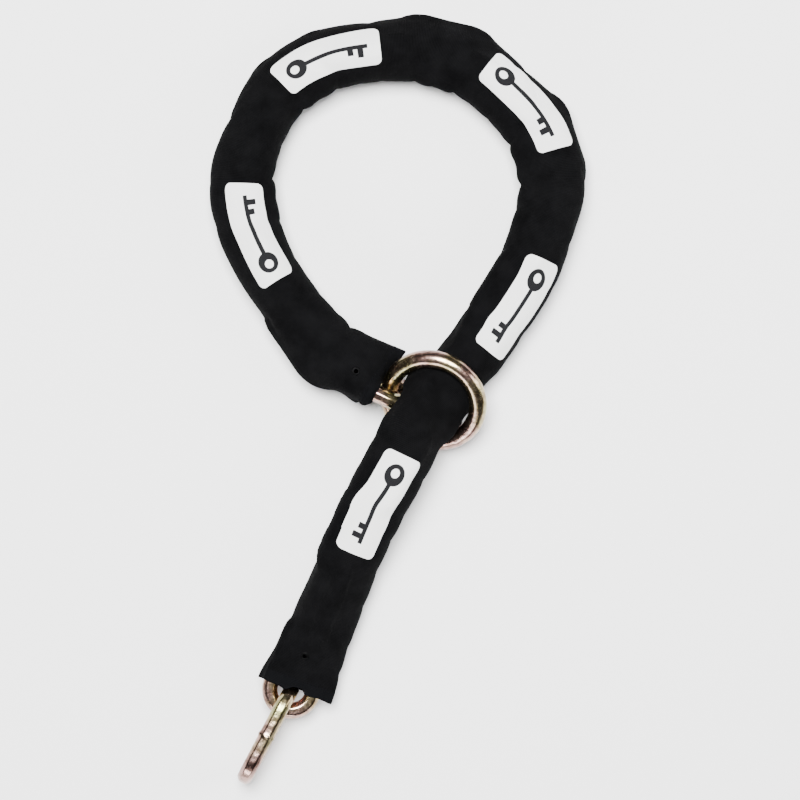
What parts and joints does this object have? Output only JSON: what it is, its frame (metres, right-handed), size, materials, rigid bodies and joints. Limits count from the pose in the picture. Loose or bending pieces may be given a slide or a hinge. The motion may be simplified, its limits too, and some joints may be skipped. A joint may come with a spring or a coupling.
{
  "type": "chain lock",
  "caption": "Square-link security chain in a woven fabric sleeve, with a large round ring at one end that the chain is threaded through to form a noose, and a free link at the other end.",
  "frame": {"origin": "centre of the bounding box in plan, on the ground that the chain lies on", "axes": "+Y along the longest way the resting chain reaches, from the free link towards the loop; +Z up from the ground; +X to the right as seen from above with +Y up"},
  "size_m": [0.3004, 0.6095, 0.074],
  "materials": {
    "plated_steel": "satin yellow chromate over zinc",
    "woven_sleeve": "matt black ribbed weave",
    "eyelet_metal": "black, semi-gloss"
  },
  "bodies": {
    "ring": {"loop_ring": "plated_steel"},
    "segment_01": {"ring_link": "plated_steel", "sleeve_01": "woven_sleeve", "eyelet_ring_end": "eyelet_metal"},
    "segment_02": {"chain_link_02": "plated_steel", "sleeve_02": "woven_sleeve"},
    "segment_03": {"chain_link_03": "plated_steel", "sleeve_03": "woven_sleeve"},
    "segment_04": {"chain_link_04": "plated_steel", "sleeve_04": "woven_sleeve"},
    "segment_05": {"chain_link_05": "plated_steel", "sleeve_05": "woven_sleeve"},
    "segment_06": {"chain_link_06": "plated_steel", "sleeve_06": "woven_sleeve"},
    "segment_07": {"chain_link_07": "plated_steel", "sleeve_07": "woven_sleeve"},
    "segment_08": {"chain_link_08": "plated_steel", "sleeve_08": "woven_sleeve"},
    "segment_09": {"chain_link_09": "plated_steel", "sleeve_09": "woven_sleeve"},
    "segment_10": {"chain_link_10": "plated_steel", "sleeve_10": "woven_sleeve"},
    "segment_11": {"chain_link_11": "plated_steel", "sleeve_11": "woven_sleeve"},
    "segment_12": {"chain_link_12": "plated_steel", "sleeve_12": "woven_sleeve"},
    "segment_13": {"chain_link_13": "plated_steel", "sleeve_13": "woven_sleeve"},
    "segment_14": {"chain_link_14": "plated_steel", "sleeve_14": "woven_sleeve"},
    "segment_15": {"chain_link_15": "plated_steel", "sleeve_15": "woven_sleeve"},
    "segment_16": {"chain_link_16": "plated_steel", "sleeve_16": "woven_sleeve"},
    "segment_17": {"chain_link_17": "plated_steel", "sleeve_17": "woven_sleeve"},
    "segment_18": {"chain_link_18": "plated_steel", "sleeve_18": "woven_sleeve", "eyelet_tail_end": "eyelet_metal"},
    "end": {"end_link": "plated_steel"}
  },
  "joints": [
    {"name": "ring_spin", "type": "hinge", "parent": "segment_01", "child": "ring", "pos_m": [0.0267, -0.0012, 0.0335], "axis": [-0.25, -0.433, 0.866], "continuous": true},
    {"name": "bend_01", "type": "hinge", "parent": "segment_02", "child": "segment_01", "pos_m": [-0.0574, 0.0305, 0.0255], "axis": [0, 0, 1], "range_deg": [-4.3, 4.3]},
    {"name": "bend_02", "type": "hinge", "parent": "segment_03", "child": "segment_02", "pos_m": [-0.08351, 0.06779, 0.0255], "axis": [0, 0, 1], "range_deg": [-4.65, 4.65]},
    {"name": "bend_03", "type": "hinge", "parent": "segment_04", "child": "segment_03", "pos_m": [-0.11811, 0.13287, 0.0255], "axis": [0, 0, 1], "range_deg": [-5.63, 5.63]},
    {"name": "bend_04", "type": "hinge", "parent": "segment_05", "child": "segment_04", "pos_m": [-0.12584, 0.17669, 0.0255], "axis": [0, 0, 1], "range_deg": [-5.8, 5.8]},
    {"name": "bend_05", "type": "hinge", "parent": "segment_06", "child": "segment_05", "pos_m": [-0.09704, 0.24453, 0.0255], "axis": [0, 0, 1], "range_deg": [-5.75, 5.75]},
    {"name": "bend_06", "type": "hinge", "parent": "segment_07", "child": "segment_06", "pos_m": [-0.05972, 0.26877, 0.0255], "axis": [0, 0, 1], "range_deg": [-5.65, 5.65]},
    {"name": "bend_07", "type": "hinge", "parent": "segment_08", "child": "segment_07", "pos_m": [0.01307, 0.2803, 0.0255], "axis": [0, 0, 1], "range_deg": [-6, 6]},
    {"name": "bend_08", "type": "hinge", "parent": "segment_09", "child": "segment_08", "pos_m": [0.05625, 0.26953, 0.0255], "axis": [0, 0, 1], "range_deg": [-6, 6]},
    {"name": "bend_09", "type": "hinge", "parent": "segment_10", "child": "segment_09", "pos_m": [0.11098, 0.22025, 0.0255], "axis": [0, 0, 1], "range_deg": [-3.07, 3.07]},
    {"name": "bend_10", "type": "hinge", "parent": "segment_11", "child": "segment_10", "pos_m": [0.12425, 0.17685, 0.0255], "axis": [0, 0, 1], "range_deg": [-4.55, 4.55]},
    {"name": "bend_11", "type": "hinge", "parent": "segment_12", "child": "segment_11", "pos_m": [0.10355, 0.10915, 0.0255], "axis": [0, 0, 1], "range_deg": [-4.95, 4.95]},
    {"name": "bend_12", "type": "hinge", "parent": "segment_13", "child": "segment_12", "pos_m": [0.07536, 0.06575, 0.02143], "axis": [0, 0, 1], "range_deg": [-3.06, 3.06]},
    {"name": "bend_13", "type": "hinge", "parent": "segment_14", "child": "segment_13", "pos_m": [0.03949, 0.01637, 0.02356], "axis": [0, 0, 1], "range_deg": [-6, 6]},
    {"name": "bend_14", "type": "hinge", "parent": "segment_14", "child": "segment_15", "pos_m": [0.00881, -0.02586, 0.05016], "axis": [0, 0, 1], "range_deg": [-6, 0]},
    {"name": "bend_15", "type": "hinge", "parent": "segment_15", "child": "segment_16", "pos_m": [-0.02197, -0.07917, 0.04908], "axis": [0, 0, 1], "range_deg": [-9, 10]},
    {"name": "bend_16", "type": "hinge", "parent": "segment_16", "child": "segment_17", "pos_m": [-0.04329, -0.12488, 0.03651], "axis": [0, 0, 1], "range_deg": [-15, 10]},
    {"name": "bend_17", "type": "hinge", "parent": "segment_17", "child": "segment_18", "pos_m": [-0.06963, -0.19007, 0.02537], "axis": [0, 0, 1], "range_deg": [-20, 20]},
    {"name": "end_link_swing", "type": "hinge", "parent": "segment_18", "child": "end", "pos_m": [-0.08645, -0.23171, 0.0238], "axis": [0, 0, 1], "range_deg": [-30, 30]}
  ],
  "couplings": [
    {"joint": "bend_01", "follows": "bend_07", "ratio": 0.7079},
    {"joint": "bend_02", "follows": "bend_08", "ratio": 0.7664},
    {"joint": "bend_03", "follows": "bend_13", "ratio": -0.9294},
    {"joint": "bend_04", "follows": "bend_07", "ratio": -0.9587},
    {"joint": "bend_05", "follows": "bend_08", "ratio": -0.9505},
    {"joint": "bend_06", "follows": "bend_13", "ratio": 0.933},
    {"joint": "bend_09", "follows": "bend_13", "ratio": -0.5027},
    {"joint": "bend_10", "follows": "bend_07", "ratio": -0.7492},
    {"joint": "bend_11", "follows": "bend_08", "ratio": -0.8159},
    {"joint": "bend_12", "follows": "bend_13", "ratio": -0.5009}
  ]
}
